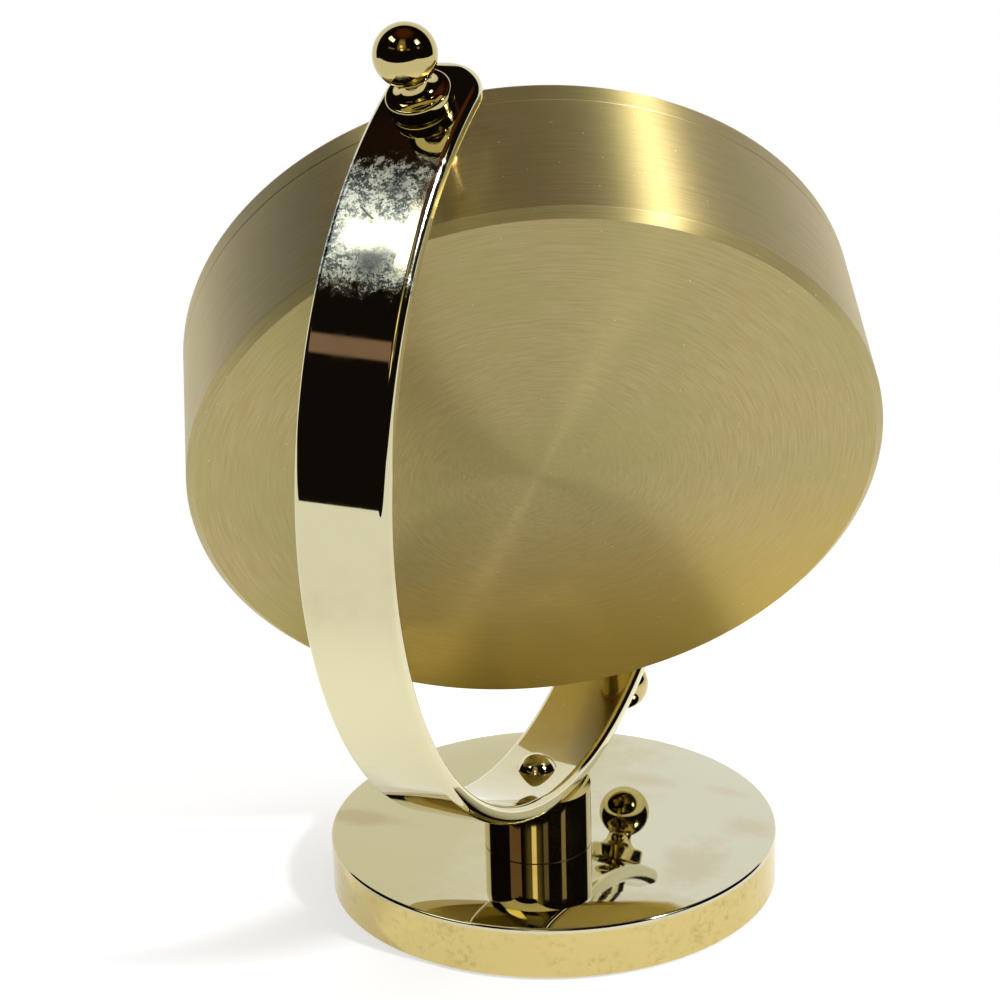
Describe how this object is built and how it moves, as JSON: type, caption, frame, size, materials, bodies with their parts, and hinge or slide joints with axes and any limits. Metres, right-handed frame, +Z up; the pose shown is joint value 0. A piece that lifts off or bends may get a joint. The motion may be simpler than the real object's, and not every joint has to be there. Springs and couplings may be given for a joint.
{
  "type": "desk clock with calendar",
  "caption": "Brass desk clock: a shallow round drum turning on a leaning axis in a C-shaped arm with ball finials, on a short post and a round weighted foot.",
  "frame": {"origin": "centre of the foot's felt underside, on the surface that the clock stands on", "axes": "+Z up; -Y towards the arm's open side, where the dial faces; the arm bends in the YZ plane, behind the drum on the +Y side; +X to the right as seen from the open side"},
  "size_m": [0.0907, 0.0923, 0.1267],
  "materials": {
    "polished_brass": "mirror polished, lacquered",
    "brushed_brass": "spun on the back, brushed round the rim",
    "felt": "short pile",
    "steel": "plain",
    "nylon": "matt",
    "bush_bronze": "plain turned",
    "glass": "clear",
    "black_plastic": "moulded",
    "dial_ivory": "satin",
    "chapter_brass": "satin",
    "calendar_white": "satin",
    "movement_brass": "plain",
    "wheel_plastic": "moulded",
    "copper_wire": "enamelled wire",
    "board_green": "lacquered board",
    "can_tin": "bright",
    "chip_black": "moulded",
    "hand_black": "black satin"
  },
  "bodies": {
    "stand": {"base_felt": "felt", "base_disc": "polished_brass", "base_washer": "steel", "base_screw": "steel", "post": "polished_brass", "arm": "polished_brass", "arm_screw": "polished_brass", "upper_sleeve": "polished_brass", "lower_sleeve": "polished_brass", "upper_slip_washer": "bush_bronze", "lower_slip_washer": "bush_bronze"},
    "upper_finial_screw": {"upper_finial": "polished_brass"},
    "lower_finial_screw": {"lower_finial": "polished_brass"},
    "drum": {"case_drum": "brushed_brass", "upper_bush": "bush_bronze", "lower_bush": "bush_bronze"},
    "insert": {"bezel": "brushed_brass", "lens": "glass", "lens_gasket": "nylon", "insert_cup": "black_plastic", "grip_ring": "nylon", "dial": "dial_ivory", "chapter_ring": "chapter_brass", "movement_plate": "movement_brass", "plate_screws": "steel", "rear_plate": "movement_brass", "daily_stud": "steel", "stator": "steel", "coil": "copper_wire", "circuit_board": "board_green", "quartz_can": "can_tin", "clock_chip": "chip_black", "cell": "can_tin", "cell_cap": "black_plastic", "cell_straps": "steel", "jumper_springs": "steel"},
    "minute_work": {"minute_pipe": "movement_brass", "minute_hand": "hand_black"},
    "hour_work": {"hour_pipe": "movement_brass", "hour_hand": "hand_black"},
    "second_work": {"second_shaft": "steel", "second_hand": "hand_black"},
    "third_gear": {"third_wheel": "wheel_plastic"},
    "fifth_gear": {"fifth_wheel": "wheel_plastic"},
    "motor_rotor": {"rotor": "steel"},
    "motion_work": {"motion_wheel": "wheel_plastic", "setting_knob": "black_plastic"},
    "daily_gear": {"daily_wheel": "wheel_plastic"},
    "date_display": {"date_ring": "calendar_white"},
    "day_display": {"day_disc": "calendar_white"},
    "date_push": {"date_button": "black_plastic"},
    "day_push": {"day_button": "black_plastic"}
  },
  "joints": [
    {"name": "drum_turn", "type": "hinge", "parent": "stand", "child": "drum", "pos_m": [-0.0006, 0.0068, 0.0707], "axis": [0, -0.5299, -0.848], "continuous": true},
    {"name": "upper_finial_turn", "type": "hinge", "parent": "stand", "child": "upper_finial_screw", "pos_m": [-0.0006, 0.0068, 0.0707], "axis": [0, 0.5299, 0.848], "range_deg": [0, 180]},
    {"name": "lower_finial_turn", "type": "hinge", "parent": "stand", "child": "lower_finial_screw", "pos_m": [-0.0006, 0.0068, 0.0707], "axis": [0, -0.5299, -0.848], "range_deg": [0, 180]},
    {"name": "insert_slide", "type": "slide", "parent": "drum", "child": "insert", "axis": [-0.4352, 0.7635, -0.4771], "range_m": [-0.02, 0]},
    {"name": "minute_hand_turn", "type": "hinge", "parent": "insert", "child": "minute_work", "pos_m": [-0.0006, 0.0068, 0.0707], "axis": [-0.4352, 0.7635, -0.4771], "continuous": true},
    {"name": "hour_hand_turn", "type": "hinge", "parent": "insert", "child": "hour_work", "pos_m": [-0.0006, 0.0068, 0.0707], "axis": [-0.4352, 0.7635, -0.4771], "continuous": true},
    {"name": "second_hand_turn", "type": "hinge", "parent": "insert", "child": "second_work", "pos_m": [-0.0006, 0.0068, 0.0707], "axis": [-0.4352, 0.7635, -0.4771], "continuous": true},
    {"name": "third_wheel_turn", "type": "hinge", "parent": "insert", "child": "third_gear", "pos_m": [-0.0006, 0.00998, 0.07579], "axis": [-0.4352, 0.7635, -0.4771], "continuous": true},
    {"name": "fifth_wheel_turn", "type": "hinge", "parent": "insert", "child": "fifth_gear", "pos_m": [-0.0006, 0.00346, 0.06536], "axis": [-0.4352, 0.7635, -0.4771], "continuous": true},
    {"name": "rotor_turn", "type": "hinge", "parent": "insert", "child": "motor_rotor", "pos_m": [0.003, 0.00353, 0.06219], "axis": [-0.4352, 0.7635, -0.4771], "continuous": true},
    {"name": "setting_knob_turn", "type": "hinge", "parent": "insert", "child": "motion_work", "pos_m": [-0.00618, 0.00451, 0.07213], "axis": [-0.4352, 0.7635, -0.4771], "continuous": true},
    {"name": "daily_wheel_turn", "type": "hinge", "parent": "insert", "child": "daily_gear", "pos_m": [-0.0006, 0.00023, 0.06018], "axis": [-0.4352, 0.7635, -0.4771], "continuous": true},
    {"name": "date_ring_turn", "type": "hinge", "parent": "insert", "child": "date_display", "pos_m": [-0.0006, 0.0068, 0.0707], "axis": [-0.4352, 0.7635, -0.4771], "continuous": true},
    {"name": "day_disc_turn", "type": "hinge", "parent": "insert", "child": "day_display", "pos_m": [-0.0006, 0.0068, 0.0707], "axis": [-0.4352, 0.7635, -0.4771], "continuous": true},
    {"name": "date_button_push", "type": "slide", "parent": "insert", "child": "date_push", "axis": [0.4352, -0.7635, 0.4771], "range_m": [0, 0.0007], "stiffness_N_per_m": 300, "springref_m": -0.001},
    {"name": "day_button_push", "type": "slide", "parent": "insert", "child": "day_push", "axis": [0.4352, -0.7635, 0.4771], "range_m": [0, 0.0007], "stiffness_N_per_m": 300, "springref_m": -0.001}
  ],
  "couplings": [
    {"joint": "hour_hand_turn", "follows": "minute_hand_turn", "ratio": 0.083333},
    {"joint": "setting_knob_turn", "follows": "minute_hand_turn", "ratio": -0.33333},
    {"joint": "daily_wheel_turn", "follows": "minute_hand_turn", "ratio": -0.041667},
    {"joint": "date_ring_turn", "follows": "minute_hand_turn", "ratio": -0.0013441},
    {"joint": "day_disc_turn", "follows": "minute_hand_turn", "ratio": 0.0059524},
    {"joint": "third_wheel_turn", "follows": "second_hand_turn", "ratio": -0.13333},
    {"joint": "fifth_wheel_turn", "follows": "second_hand_turn", "ratio": -6},
    {"joint": "rotor_turn", "follows": "second_hand_turn", "ratio": 30}
  ]
}
